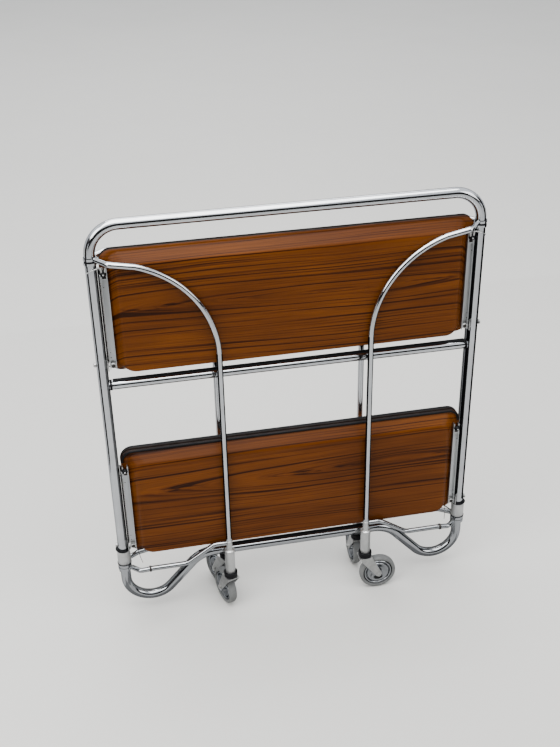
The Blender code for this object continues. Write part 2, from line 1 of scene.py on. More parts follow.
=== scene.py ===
# %% [markdown]
# # A folding serving trolley, dressed
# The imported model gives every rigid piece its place. This lesson gives each one its finish, and
# draws the pieces whose smooth curves show in the picture again with finer steps: bent tubes,
# pressed leaves, turned collars and wheels. All lengths are in metres, X runs to the right,
# Y away from the viewer and Z up.

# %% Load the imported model
import math

import bmesh
import bpy
from mathutils import Matrix, Vector


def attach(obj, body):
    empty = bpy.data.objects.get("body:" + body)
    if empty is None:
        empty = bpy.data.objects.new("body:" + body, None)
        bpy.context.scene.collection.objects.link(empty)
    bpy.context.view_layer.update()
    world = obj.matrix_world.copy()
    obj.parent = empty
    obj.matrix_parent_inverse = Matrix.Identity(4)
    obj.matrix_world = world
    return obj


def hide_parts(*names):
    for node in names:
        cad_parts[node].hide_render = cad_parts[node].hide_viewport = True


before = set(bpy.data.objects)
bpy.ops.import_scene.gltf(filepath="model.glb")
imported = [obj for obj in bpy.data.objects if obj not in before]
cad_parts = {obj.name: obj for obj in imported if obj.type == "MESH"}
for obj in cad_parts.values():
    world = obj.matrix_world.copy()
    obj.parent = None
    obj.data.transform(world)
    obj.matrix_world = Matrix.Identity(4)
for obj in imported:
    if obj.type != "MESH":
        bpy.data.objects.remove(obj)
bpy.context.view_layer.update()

# %% [markdown]
# ## Camera
# The picture was taken from above and a little from the left, with the camera turned slightly
# clockwise. Three angles and a place say all of that, and a matrix built from them keeps the
# small roll exact.

# %% Camera
yaw, pitch, roll = math.radians(11.068), math.radians(30.030), math.radians(-1.157)
camera_place, sensor_width, lens_length = (-0.3226, -1.5350, 1.3780), 36, 68.66
ahead = Vector((math.sin(yaw) * math.cos(pitch), math.cos(yaw) * math.cos(pitch), -math.sin(pitch)))
level_right = Vector((math.cos(yaw), -math.sin(yaw), 0.0))
level_up = level_right.cross(ahead)
camera_right = level_right * math.cos(roll) + level_up * math.sin(roll)
camera_up = level_up * math.cos(roll) - level_right * math.sin(roll)
camera_data = bpy.data.cameras.new("camera")
camera_data.sensor_width = sensor_width
camera_data.sensor_fit = "HORIZONTAL"
camera_data.lens = lens_length
camera = bpy.data.objects.new("camera", camera_data)
turned = Matrix((camera_right, camera_up, -ahead)).transposed().to_4x4()
camera.matrix_world = Matrix.Translation(camera_place) @ turned
bpy.context.scene.collection.objects.link(camera)
bpy.context.scene.camera = camera
print("camera looks down", round(math.degrees(pitch), 1), "degrees")

# %% [markdown]
# ## Node helpers
# Every finish below is a small network of shader nodes. A helper that makes a node and joins its
# inputs in one call keeps each finish short.

# %% Node helpers
def add(tree, kind, settings=None, output=0, **feeds):
    """Make a node, set or join its inputs, and return one of its outputs."""
    made = tree.nodes.new(kind)
    for key, value in (settings or {}).items():
        setattr(made, key, value)
    for key, value in feeds.items():
        socket = made.inputs[int(key[1:]) if key[1:].isdigit() else key.replace("_", " ")]
        if isinstance(value, bpy.types.NodeSocket):
            tree.links.new(value, socket)
        else:
            socket.default_value = value
    return made.outputs[output]


def maths(tree, operation, one, other=0.0):
    """A Math node."""
    return add(tree, "ShaderNodeMath", {"operation": operation}, n0=one, n1=other)


def noise(tree, vector, scale, detail=2.0, roughness=0.5):
    """A Noise Texture's value."""
    return add(tree, "ShaderNodeTexNoise", Vector=vector, Scale=scale, Detail=detail,
               Roughness=roughness)


def stretched(tree, vector, scale):
    """A Mapping node that scales its vector."""
    return add(tree, "ShaderNodeMapping", Vector=vector, Scale=scale)


def ranged(tree, value, low, high, to_low=0.0, to_high=1.0):
    """A Map Range node."""
    return add(tree, "ShaderNodeMapRange", n0=value, n1=low, n2=high, n3=to_low, n4=to_high)


def mixed(tree, share, one, other, mode="MIX"):
    """A colour Mix node."""
    return add(tree, "ShaderNodeMix", {"data_type": "RGBA", "blend_type": mode}, output=2,
               n0=share, n6=one, n7=other)


def shader_of(material):
    """The Principled shader of a material."""
    return material.node_tree.nodes["Principled BSDF"]


def new_group(name, inputs, outputs):
    """An empty shader node group and its two end nodes."""
    group = bpy.data.node_groups.new(name, "ShaderNodeTree")
    for direction, sockets in (("INPUT", inputs), ("OUTPUT", outputs)):
        for label, kind in sockets.items():
            group.interface.new_socket(label, in_out=direction, socket_type=f"NodeSocket{kind}")
    return group, group.nodes.new("NodeGroupInput").outputs, group.nodes.new("NodeGroupOutput")


# %% [markdown]
# ## Handled surfaces
# Metal, plastic and rubber all show the same three things on close view: smudges that change the
# gloss over a few centimetres, a fine grain, and slightly uneven tone. One node group makes all
# three from noise, and each material places it with its own sizes.

# %% Group: handled surface
handled, given, result = new_group(
    "handled_surface",
    {"Vector": "Vector", "Smudge Scale": "Float", "Grain Scale": "Float", "Glossy": "Float",
     "Dull": "Float", "Tone Change": "Float", "Grain Depth": "Float"},
    {"Tone": "Color", "Roughness": "Float", "Normal": "Vector"})
smudge_detail, smudge_roughness, smudge_from, smudge_full = 4.0, 0.6, 0.35, 0.70
smudge = noise(handled, given["Vector"], given["Smudge Scale"], smudge_detail, smudge_roughness)
smudge_share = ranged(handled, smudge, smudge_from, smudge_full)
grain = noise(handled, given["Vector"], given["Grain Scale"])
darker = maths(handled, "MULTIPLY", smudge_share, given["Tone Change"])
tone = maths(handled, "SUBTRACT", 1.0, darker)
handled.links.new(add(handled, "ShaderNodeCombineColor", Red=tone, Green=tone, Blue=tone),
                  result.inputs["Tone"])
gloss_span = maths(handled, "SUBTRACT", given["Dull"], given["Glossy"])
handled.links.new(
    maths(handled, "ADD", given["Glossy"], maths(handled, "MULTIPLY", smudge_share, gloss_span)),
    result.inputs["Roughness"])
handled.links.new(
    add(handled, "ShaderNodeBump", Strength=1.0, Distance=given["Grain Depth"], Height=grain),
    result.inputs["Normal"])
print("group:", handled.name)


# %% A material that uses the group
def handled_material(name, colour, metallic, glossy, dull, smudge_scale, grain_scale, grain_depth,
                     tone_change=0.15, stretch=(1.0, 1.0, 1.0)):
    """A finish with its own colour, gloss range, grain and direction of brushing."""
    material = bpy.data.materials.new(name)
    material.use_nodes = True
    tree, shader = material.node_tree, shader_of(material)
    here = add(tree, "ShaderNodeTexCoord", output=3)
    surface = tree.nodes.new("ShaderNodeGroup")
    surface.node_tree = handled
    tree.links.new(stretched(tree, here, stretch), surface.inputs["Vector"])
    for label, value in (("Smudge Scale", smudge_scale), ("Grain Scale", grain_scale),
                         ("Glossy", glossy), ("Dull", dull), ("Tone Change", tone_change),
                         ("Grain Depth", grain_depth)):
        surface.inputs[label].default_value = value
    shader.inputs["Metallic"].default_value = metallic
    tree.links.new(mixed(tree, 1.0, (*colour, 1.0), surface.outputs["Tone"], "MULTIPLY"),
                   shader.inputs["Base Color"])
    tree.links.new(surface.outputs["Roughness"], shader.inputs["Roughness"])
    tree.links.new(surface.outputs["Normal"], shader.inputs["Normal"])
    return material


# %% [markdown]
# ## Metal, plastic and rubber finishes
# The hoop and the gates are bright chrome. The foot rail and the lower arms are a darker copy of
# chrome, painted shade that stands for the shaded floor they reflect. The wheel discs are worn,
# and their darker colour is also painted shade; the rear stiles are chrome drawn dark as painted
# shade of the gap behind the uprights. Collars and sockets are satin, the channels are brushed zinc
# drawn along their length, the cups and bushes are black moulded plastic, and the tyres are grey
# rubber with road dust. A tint takes light from the edges of chrome, and plastic and board shine
# little.

# %% Finishes
# Each row: colour, metallic, glossy, dull, smudge scale, grain scale, grain depth, and for some
# the tone change and the stretch.
finish_rows = {
    "chrome": ((0.67, 0.68, 0.69), 1.0, 0.05, 0.13, 24.0, 900.0, 0.00001),
    # Wheel discs: worn, rougher and uneven chrome, made darker with painted shade.
    "worn_and_shaded_chrome": ((0.38, 0.39, 0.40), 1.0, 0.12, 0.26, 60.0, 1800.0, 0.00002, 0.30),
    # Foot rail and lower arms: a darker copy of chrome, painted shade of the shaded floor they
    # reflect.
    "floor_shade_chrome": ((0.44, 0.45, 0.46), 1.0, 0.06, 0.15, 24.0, 900.0, 0.00001),
    "satin_aluminium": ((0.60, 0.60, 0.585), 0.85, 0.28, 0.42, 60.0, 2600.0, 0.00003),
    "brushed_zinc": ((0.54, 0.55, 0.55), 0.95, 0.26, 0.48, 70.0, 1800.0, 0.00004, 0.25,
                     (1.0, 1.0, 0.06)),
    "sheet_steel": ((0.52, 0.52, 0.505), 0.9, 0.28, 0.50, 90.0, 2200.0, 0.00003, 0.22),
    "screw_steel": ((0.055, 0.051, 0.047), 0.9, 0.30, 0.55, 160.0, 3000.0, 0.00004, 0.30),
    # Rear stiles: chrome drawn dark, painted shade of the gap behind the uprights.
    "stile_shade_chrome": ((0.12, 0.12, 0.125), 1.0, 0.14, 0.28, 60.0, 1800.0, 0.00002, 0.25),
    # Black moulding: the cups, bushes and sleeves, and also the strips of painted shade on the
    # bars, channels and rims.
    "black_moulding": ((0.005, 0.005, 0.006), 0.0, 0.34, 0.55, 80.0, 3200.0, 0.00004),
    "grey_rubber": ((0.150, 0.153, 0.150), 0.0, 0.55, 0.85, 55.0, 1500.0, 0.00010, 0.25),
    # Back and rims of the leaves: dark board, taken nearly to black with painted shade.
    "board_and_shade": ((0.009, 0.0045, 0.003), 0.0, 0.45, 0.70, 40.0, 1800.0, 0.00008, 0.35)}
(chrome, disc_chrome, rail_chrome, satin, zinc, sheet_steel, screw_steel, stile_shade_chrome, black_plastic,
 rubber, board_and_shade) = [handled_material(name, *row) for name, row in finish_rows.items()]
edge_tint, little_shine = (0.30, 0.31, 0.33, 1.0), 0.12
for plated in (chrome, disc_chrome, rail_chrome):
    shader_of(plated).inputs["Specular Tint"].default_value = edge_tint
for plain in (black_plastic, board_and_shade):
    shader_of(plain).inputs["Specular IOR Level"].default_value = little_shine
print("finishes:", list(finish_rows))

# %% [markdown]
# ## Teak laminate
# The leaves are pressed from board with a printed teak face. Growth rings cut lengthwise give
# long, nearly straight dark lines that close into narrow eyes here and there. Distance from a
# point, measured about eighteen times shorter along the leaf than across it, gives those nested
# long ovals, and noise read along that distance gives lines of uneven spacing and darkness.

# %% Group: teak grain
grained, given, result = new_group(
    "teak_grain",
    {"Vector": "Vector", "Eye Place": "Vector", "Seed": "Float"},
    {"Color": "Color", "Roughness": "Float", "Height": "Float"})
lean_share, eye_squeeze, wander_depth, side_blur = 0.8, 0.055, 0.020, 0.004
ring_drift, ring_scale, ring_detail, ring_roughness = 1.1, 235.0, 3.0, 0.60
fine_drift, fine_scale = 5.0, 700.0
wander_stretch, fibre_stretch, cloud_stretch = (2.2, 1.0, 8.0), (18.0, 1.0, 900.0), (4.0, 1.0, 16.0)
light_wood, warm_wood = (0.122, 0.033, 0.0016, 1.0), (0.084, 0.0212, 0.0010, 1.0)
dark_wood, line_wood = (0.048, 0.0110, 0.0006, 1.0), (0.019, 0.0046, 0.0005, 1.0)
warm_range, dark_range, line_range = (0.35, 0.65), (0.49, 0.42), (0.422, 0.385)
fine_range, fibre_range, gloss_range = (0.3, 0.6, 0.72, 1.06), (0.3, 0.7, 0.82, 1.12), (
    0.3, 0.6, 0.46, 0.34)
parts = add(grained, "ShaderNodeSeparateXYZ", n0=given["Vector"]).node.outputs
fold = maths(grained, "MULTIPLY", maths(grained, "ABSOLUTE", parts[1]), lean_share)
height = maths(grained, "SUBTRACT", parts[2], fold)
laid = add(grained, "ShaderNodeCombineXYZ", X=parts[0], Y=given["Seed"], Z=height)
wander = noise(grained, stretched(grained, laid, wander_stretch), 1.0)
eye = add(grained, "ShaderNodeSeparateXYZ", n0=given["Eye Place"]).node.outputs
along_eye = maths(grained, "MULTIPLY", maths(grained, "SUBTRACT", parts[0], eye[0]),
                  eye_squeeze)
above_eye = maths(grained, "ADD", maths(grained, "SUBTRACT", height, eye[2]), maths(
    grained, "MULTIPLY", maths(grained, "SUBTRACT", wander, 0.5), wander_depth))
ring = maths(grained, "SQRT", maths(
    grained, "ADD", maths(grained, "MULTIPLY", along_eye, along_eye),
    maths(grained, "MULTIPLY", above_eye, above_eye)))
side_of_eye = ranged(grained, above_eye, -side_blur, side_blur)
ring_line = add(grained, "ShaderNodeCombineXYZ",
                X=maths(grained, "MULTIPLY", parts[0], ring_drift),
                Y=maths(grained, "ADD", given["Seed"], side_of_eye),
                Z=maths(grained, "MULTIPLY", ring, ring_scale))
lines = noise(grained, ring_line, 1.0, ring_detail, ring_roughness)
fine_line = add(grained, "ShaderNodeCombineXYZ", Y=given["Seed"],
                X=maths(grained, "MULTIPLY", parts[0], fine_drift),
                Z=maths(grained, "MULTIPLY", ring, fine_scale))
fine = noise(grained, fine_line, 1.0)
fibres = noise(grained, stretched(grained, laid, fibre_stretch), 1.0)
cloud = noise(grained, stretched(grained, laid, cloud_stretch), 1.0)
body_wood = mixed(grained, ranged(grained, cloud, *warm_range), warm_wood, light_wood)
body_wood = mixed(grained, ranged(grained, lines, *dark_range), body_wood, dark_wood)
body_wood = mixed(grained, ranged(grained, lines, *line_range), body_wood, line_wood)
fine_shade = ranged(grained, fine, *fine_range)
fibre_shade = ranged(grained, fibres, *fibre_range)
shade = maths(grained, "MULTIPLY", fine_shade, fibre_shade)
shade_colour = add(grained, "ShaderNodeCombineColor", Red=shade, Green=shade, Blue=shade)
grained.links.new(mixed(grained, 1.0, body_wood, shade_colour, "MULTIPLY"), result.inputs["Color"])
grained.links.new(ranged(grained, lines, *gloss_range), result.inputs["Roughness"])
grained.links.new(maths(grained, "MULTIPLY", shade, 0.5), result.inputs["Height"])
print("group:", grained.name)


# %% One teak material for each leaf
teak_shine = 0.11


def teak(name, eye_place, seed):
    """The laminate with its own cut of the log."""
    material = bpy.data.materials.new(name)
    material.use_nodes = True
    tree, shader = material.node_tree, shader_of(material)
    wood = tree.nodes.new("ShaderNodeGroup")
    wood.node_tree = grained
    tree.links.new(add(tree, "ShaderNodeTexCoord", output=3), wood.inputs["Vector"])
    wood.inputs["Eye Place"].default_value = eye_place
    wood.inputs["Seed"].default_value = seed
    tree.links.new(wood.outputs["Color"], shader.inputs["Base Color"])
    tree.links.new(wood.outputs["Roughness"], shader.inputs["Roughness"])
    tree.links.new(add(tree, "ShaderNodeBump", Strength=0.5, Distance=0.0001,
                       Height=wood.outputs["Height"]), shader.inputs["Normal"])
    shader.inputs["Specular IOR Level"].default_value = teak_shine
    return material


# %% [markdown]
# ## Shaping helpers
# A bent tube is drawn the way a bender makes it: a round section is pushed along a line and turned
# a little at each step. A collar or a wheel is turned on a lathe: half its outline spun round an
# axis. Both are bmesh operators, so the faces come out in neat rows.

# %% Lines with rounded corners
joined_within = 0.00001


def rounded_line(corners, radii, steps=12):
    """Points through the corners, each inner corner turned on an arc of its own radius."""
    points = [Vector(corners[0])]
    for index, radius in enumerate(radii):
        before, here, after = (Vector(corners[index + shift]) for shift in (0, 1, 2))
        back, onward = (before - here).normalized(), (after - here).normalized()
        turn = math.pi - back.angle(onward)
        reach = radius * math.tan(turn / 2)
        middle = here + (back + onward).normalized() * radius / math.cos(turn / 2)
        spoke = here + back * reach - middle
        axis = spoke.cross(here + onward * reach - middle).normalized()
        points += [middle + Matrix.Rotation(turn * step / steps, 3, axis) @ spoke
                   for step in range(steps + 1)]
    return points + [Vector(corners[-1])]


# %% Round bars and tubes
def draw_bar(bm, points, radius, sides=24, shares=None):
    """Push a round section along the points; shares say how thick it is at each."""
    shares = shares or [1.0] * len(points)
    courses = [(after - before).normalized()
               for before, after in zip(points[:1] + points[:-1], points[1:] + points[-1:])]
    aim = Matrix.Translation(points[0]) @ courses[0].to_track_quat("Z", "Y").to_matrix().to_4x4()
    circle = bmesh.ops.create_circle(bm, segments=sides, radius=radius * shares[0], matrix=aim)
    first_edges = edges = list({edge for vert in circle["verts"] for edge in vert.link_edges})
    for index in range(1, len(points)):
        grown = bmesh.ops.extrude_edge_only(bm, edges=edges)["geom"]
        verts = [item for item in grown if isinstance(item, bmesh.types.BMVert)]
        edges = [item for item in grown if isinstance(item, bmesh.types.BMEdge)
                 and all(vert in verts for vert in item.verts)]
        bmesh.ops.translate(bm, vec=points[index] - points[index - 1], verts=verts)
        turn = courses[index - 1].rotation_difference(courses[index]).to_matrix()
        bmesh.ops.rotate(bm, cent=points[index], matrix=turn, verts=verts)
        share = shares[index] / shares[index - 1]
        bmesh.ops.scale(bm, vec=(share,) * 3, space=Matrix.Translation(-points[index]), verts=verts)
    bmesh.ops.contextual_create(bm, geom=first_edges)
    bmesh.ops.contextual_create(bm, geom=edges)


# %% Turned pieces
def turn_piece(bm, outline, place, steps=48):
    """Spin an outline of (radius, height) points round Z, then put it in place."""
    first = len(bm.verts)
    closed = outline[0] == outline[-1]
    corners = outline[:len(outline) - closed]
    verts = [bm.verts.new((radius, 0.0, height)) for radius, height in corners]
    edges = [bm.edges.new(pair) for pair in zip(verts, verts[1:] + verts[:closed])]
    bmesh.ops.spin(bm, geom=verts + edges, cent=(0, 0, 0), axis=(0, 0, 1), dvec=(0, 0, 0),
                   angle=math.tau, steps=steps, use_merge=True, use_duplicate=False)
    bm.verts.ensure_lookup_table()
    bmesh.ops.transform(bm, matrix=place, verts=bm.verts[first:])


def ring_section(inner, outer, middle, half):
    """The outline of a flat ring."""
    top, foot = middle + half, middle - half
    return [(inner, top), (outer, top), (outer, foot), (inner, foot), (inner, top)]


# %% Blocks and soft edges
def add_block(bm, low, high):
    """A block between two corners."""
    size = [top - bottom for bottom, top in zip(low, high)]
    middle = Matrix.Translation((Vector(low) + Vector(high)) / 2)
    bmesh.ops.create_cube(bm, size=1.0, matrix=middle @ Matrix.Diagonal((*size, 1.0)))


def soften(bm, width, steps=2, least=math.radians(32)):
    """Round every fold that is sharper than the least angle."""
    bmesh.ops.remove_doubles(bm, verts=bm.verts, dist=joined_within)
    bmesh.ops.recalc_face_normals(bm, faces=bm.faces)
    folds = [edge for edge in bm.edges
             if len(edge.link_faces) == 2 and edge.calc_face_angle(0.0) > least]
    bmesh.ops.bevel(bm, geom=folds, offset=width, offset_type="OFFSET", segments=steps, profile=0.5,
                    affect="EDGES", clamp_overlap=True, material=-1)


# %% From a bmesh to a piece
def mesh_object(name, bm, material):
    """A linked object made of a bmesh, with one material."""
    mesh = bpy.data.meshes.new(name)
    bm.to_mesh(mesh)
    bm.free()
    mesh.materials.append(material)
    made = bpy.data.objects.new(name, mesh)
    bpy.context.scene.collection.objects.link(made)
    return made


def finish_piece(name, bm, material, body, replaced=(), outward=True):
    """A smooth piece that rides on its body."""
    bmesh.ops.remove_doubles(bm, verts=bm.verts, dist=joined_within)
    if outward:
        bmesh.ops.recalc_face_normals(bm, faces=bm.faces)
    piece = mesh_object(name, bm, material)
    piece.data.shade_smooth()
    piece.data.set_sharp_from_angle(angle=math.radians(38))
    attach(piece, body)
    if replaced:
        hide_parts(*replaced)
    return piece


# %% [markdown]
# ## Hoop, foot rail and middle bar
# One 18 mm tube makes the hoop, and a second one the foot rail, whose ends dip in low loops and
# rise to the bar. Their ends meet inside the collars, so closed round bars stand for them well.

# %% The three large tubes
upright_x, tube_radius = 0.316, 0.009
join_z, hoop_top_z, hoop_bend = 0.1337, 0.769, 0.048
loop_radius, foot_low_z, rise = 0.046, 0.036, math.radians(48)
foot_bar_z, foot_bar_bend, tube_gap = 0.117, 0.060, 0.00015
mid_bar_z, mid_bar_radius, bar_end_x, bar_inner_x = 0.490, 0.008, 0.3075, 0.1

hoop = bmesh.new()
draw_bar(hoop, rounded_line(
    [(-upright_x, 0, join_z + tube_gap), (-upright_x, 0, hoop_top_z), (upright_x, 0, hoop_top_z),
     (upright_x, 0, join_z + tube_gap)], [hoop_bend] * 2, 20), tube_radius, 40)
finish_piece("hoop_tube", hoop, chrome, "frame", ["hoop"])

rise_x = upright_x - loop_radius - loop_radius * math.sin(rise)
rise_z = foot_low_z + loop_radius - loop_radius * math.cos(rise)
foot_corner_z = rise_z - (upright_x - rise_x) * math.tan(rise)
bar_corner_x = rise_x - (foot_bar_z - rise_z) / math.tan(rise)
rail = bmesh.new()
rail_line = [(-upright_x, join_z - tube_gap), (-upright_x, foot_corner_z),
             (-bar_corner_x, foot_bar_z), (bar_corner_x, foot_bar_z),
             (upright_x, foot_corner_z), (upright_x, join_z - tube_gap)]
draw_bar(rail, rounded_line([(x, 0, z) for x, z in rail_line],
                            [loop_radius, foot_bar_bend, foot_bar_bend, loop_radius], 22),
         tube_radius, 40)
# The foot rail takes the darker chrome: painted shade.
finish_piece("foot_rail_tube", rail, rail_chrome, "frame", ["foot_rail"])

bar = bmesh.new()
bar_stations = (-bar_end_x, -bar_inner_x, bar_inner_x, bar_end_x)
draw_bar(bar, [Vector((x, 0, mid_bar_z)) for x in bar_stations], mid_bar_radius, 36)
finish_piece("middle_bar_tube", bar, chrome, "frame", ["mid_bar"])
print("tubes drawn: hoop, foot rail, middle bar")

# %% Sleeves at the ends of the middle bar
sides = {"left": -1, "right": 1}
faces = {"front": -1, "rear": 1}
quarters = [(f"{face_name}_{side_name}", face, side) for face_name, face in faces.items()
            for side_name, side in sides.items()]
sleeve_x = 0.3050
sleeve_outline = [(0.0081, 0.0019), (0.0087, 0.0019), (0.0090, 0.0016), (0.0090, -0.0016),
                  (0.0087, -0.0019), (0.0081, -0.0019), (0.0081, 0.0019)]
for side_name, side in sides.items():
    sleeve = bmesh.new()
    sleeve_place = Matrix.Translation((side * sleeve_x, 0, mid_bar_z))
    turn_piece(sleeve, sleeve_outline, sleeve_place @ Matrix.Rotation(math.pi / 2, 4, "Y"), 40)
    finish_piece(f"saddle_sleeve_{side_name}", sleeve, black_plastic, "frame",
                 [f"saddle_{side_name}"])
print("bar sleeves turned")

# %% [markdown]
# A dark strip lies along the top of the middle bar and of the foot rail's bar, under the leaves:
# painted shade of the gap between the leaves and the bars. It is a thin round bar, half sunk into
# the tube.

# %% Dark strips on the bars: painted shade under the leaves
strip_radius, strip_bend = 0.0042, 0.06
mid_strip_x, mid_strip_z = 0.3015, mid_bar_z + 0.0066
foot_strip_x, foot_strip_z, foot_strip_end_x, foot_strip_end_z = 0.150, 0.1245, 0.180, 0.1165
strip_lines = {
    "middle_bar_shade_strip": [(-mid_strip_x, mid_strip_z), (mid_strip_x, mid_strip_z)],
    "foot_rail_shade_strip": [(-foot_strip_end_x, foot_strip_end_z), (-foot_strip_x, foot_strip_z),
                        (foot_strip_x, foot_strip_z), (foot_strip_end_x, foot_strip_end_z)]}
for strip_name, strip_line in strip_lines.items():
    strip = bmesh.new()
    corners = [Vector((x, 0.0, z)) for x, z in strip_line]
    draw_bar(strip, rounded_line(corners, [strip_bend] * (len(corners) - 2), 10), strip_radius, 20)
    # Each strip is painted shade of the gap between the leaves and the bar.
    finish_piece(strip_name, strip, black_plastic, "frame")
print("shade strips laid")

# %% [markdown]
# ## Collars, liners and bushes
# A satin ring hides the joint of hoop and foot rail. Its black liner shows as a flared lip above
# and a thin washer below. Higher up, a black bush carries the two gates. Each is turned, with
# edges soft enough to catch a line of light.

# %% Turned fittings on the uprights
collar_edge, collar_outline = 0.0005, ring_section(0.0105, 0.0118, 0.1341, 0.0139)
liner_outline = [(0.0093, 0.1515), (0.0130, 0.1515), (0.0137, 0.1508), (0.0121, 0.1483),
                 (0.0102, 0.1483), (0.0102, 0.1199), (0.0128, 0.1199), (0.0128, 0.1189),
                 (0.0093, 0.1189), (0.0093, 0.1515)]
bush_outline = [(0.0093, 0.7196), (0.0096, 0.7196), (0.0098, 0.7192), (0.0098, 0.7141),
                (0.0096, 0.7139), (0.0096, 0.7126), (0.0098, 0.7124), (0.0098, 0.7074),
                (0.0096, 0.7070), (0.0093, 0.7070), (0.0093, 0.7196)]
for side_name, side in sides.items():
    foot = Matrix.Translation((side * upright_x, 0, 0))
    collar = bmesh.new()
    turn_piece(collar, collar_outline, foot, 56)
    soften(collar, collar_edge, 3)
    finish_piece(f"collar_ring_{side_name}", collar, satin, "frame",
                 [f"collar_{side_name}"])
    for piece_name, outline, node in (("liner_sleeve", liner_outline, "collar_liner"),
                                      ("gate_bush", bush_outline, "pivot_bush")):
        fitting = bmesh.new()
        turn_piece(fitting, outline, foot, 56)
        finish_piece(f"{piece_name}_{side_name}", fitting, black_plastic, "frame",
                     [f"{node}_{side_name}"])
print("collars, liners and bushes turned")

# %% [markdown]
# ## Tray leaves
# Each leaf is one pressed sheet: a flat flange, walls that slope in on three sides, a wide soft
# shoulder and a flat face. Starting from a rounded rectangle, the middle is extruded in small
# stations that follow that section. The wood needs a slope of its own on each side, so every
# station is scaled and shifted to its own rectangle. The back and the rims are nearly black:
# partly dark board, partly painted shade of the hollow between the leaves.

# %% Leaf section
leaf_half_width, leaf_corner, flange_y = 0.3035, 0.020, 0.0045
sheet_thickness, dish_depth = 0.0024, 0.0170
sheet_spans = {"upper": (0.5195, 0.7305), "lower": (0.1465, 0.3600)}
first_seed, seed_step = 3.0, 7.0
flange = {"side": 0.0115, "low": 0.0006, "high": 0.0040}
slope = {"side": 0.0130, "low": 0.0008, "high": 0.0190}
shoulder = {"side": 0.0045, "low": 0.0022, "high": 0.0050}
stations = [(0.0, 0.0, 0.0), (0.04, 0.0, 0.02), (0.10, 0.0, 0.075), (0.40, 0.0, 0.40),
            (0.76, 0.0, 0.76), (0.85, 0.06, 0.87), (0.93, 0.20, 0.945), (0.98, 0.48, 0.985),
            (1.0, 0.80, 0.998), (1.0, 1.0, 1.0), (1.0, 1.6, 1.0)]


def station_size(slope_share, shoulder_share, leaf_height):
    """Half width, lowest and highest edge of the sheet at a station."""
    inset = {key: flange[key] + slope[key] * slope_share + shoulder[key] * shoulder_share
             for key in flange}
    return leaf_half_width - inset["side"], inset["low"], leaf_height - inset["high"]


# %% Press one leaf
def press_leaf(name, face, span, wood, node):
    """A leaf whose flange starts as a rounded rectangle facing the viewer."""
    bm = bmesh.new()
    leaf_height = span[1] - span[0]
    half_height = leaf_height / 2
    upright = Matrix.Rotation(math.pi / 2, 4, "X") @ Matrix.Diagonal(
        (leaf_half_width, half_height, 1.0, 1.0))
    bmesh.ops.create_grid(bm, x_segments=1, y_segments=1, size=1.0,
                          matrix=Matrix.Translation((0, -flange_y, half_height)) @ upright)
    bmesh.ops.bevel(bm, geom=bm.verts[:], offset=leaf_corner, offset_type="OFFSET", segments=12,
                    profile=0.5, affect="VERTICES", clamp_overlap=True, material=-1)
    panel = bm.faces[:][0]
    was, was_out = (leaf_half_width, 0.0, leaf_height), 0.0
    for slope_share, shoulder_share, out in stations:
        grown = bmesh.ops.extrude_face_region(bm, geom=[panel])["geom"]
        bmesh.ops.delete(bm, geom=[panel], context="FACES_ONLY")
        panel = next(item for item in grown if isinstance(item, bmesh.types.BMFace))
        now = station_size(slope_share, shoulder_share, leaf_height)
        share = (now[0] / was[0], 1.0, (now[2] - now[1]) / (was[2] - was[1]))
        middle = Vector((0, 0, (was[1] + was[2]) / 2))
        bmesh.ops.scale(bm, vec=share, space=Matrix.Translation(-middle), verts=panel.verts)
        bmesh.ops.translate(bm, verts=panel.verts, vec=(
            0, -(out - was_out) * dish_depth, (now[1] + now[2] - was[1] - was[2]) / 2))
        was, was_out = now, out
    place = Matrix.Translation((0, 0, span[0])) @ Matrix.Rotation(math.pi * (face > 0), 4, "Z")
    bmesh.ops.transform(bm, matrix=place, verts=bm.verts)
    leaf = finish_piece(name, bm, wood, "frame", [node], outward=False)
    # Back and rims: nearly black, partly painted shade of the hollow between the leaves.
    leaf.data.materials.append(board_and_shade)
    wall = leaf.modifiers.new("sheet", "SOLIDIFY")
    wall.thickness, wall.offset, wall.use_even_offset = sheet_thickness, -1.0, True
    wall.material_offset = wall.material_offset_rim = 1


eyes = {("upper", "front"): (0.06, 0.0, 0.613), ("upper", "rear"): (-0.10, 0.0, 0.66),
        ("lower", "front"): (0.20, 0.0, 0.262), ("lower", "rear"): (0.02, 0.0, 0.24)}
for seed, ((level_name, face_name), eye_place) in enumerate(eyes.items()):
    wood = teak(f"teak_{level_name}_{face_name}", eye_place, first_seed + seed_step * seed)
    press_leaf(f"{level_name}_{face_name}_tray", faces[face_name], sheet_spans[level_name], wood,
               f"{level_name}_{face_name}_leaf")
print("leaves pressed:", len(eyes))

# %% [markdown]
# ## Gates
# A gate is one 10 mm tube: a short neck from the upright, a knee, a quarter circle and a long
# straight leg. Its line is worked out from the upright, so one function makes all four. The neck
# narrows where it joins the flat band that goes round the black bush. Behind each upright stands
# the rear gate's stile, a chrome rod that swings with it, drawn dark as painted shade of the gap
# behind the upright.

# %% Gate lines
gate_radius, gate_plane, gate_arc_radius = 0.005, 0.0285, 0.176
gate_reach, gate_arc_z, gate_end_z, knee_in, knee_bend = 0.1885, 0.540, 0.1568, 0.026, 0.011
front_neck_z, rear_neck_z, neck_direction = 0.7170, 0.7095, Vector((0.674, 0.7387))
band_inner, band_outer, band_half, neck_sink = 0.0099, 0.0106, 0.0020, 0.0008
neck_share, taper_share, taper_step = 0.80, 0.86, 0.02
stile_radius, stile_offset, stile_bend = 0.0048, 0.0195, 0.006
stile_heights = (0.1158, 0.3, 0.5, rear_neck_z - 0.003)
arc_steps = 26


def inward(side, face, point):
    """A point given as in from the upright, out from the hoop's plane, and up."""
    return Vector((side * (upright_x - point[0]), face * point[1], point[2]))


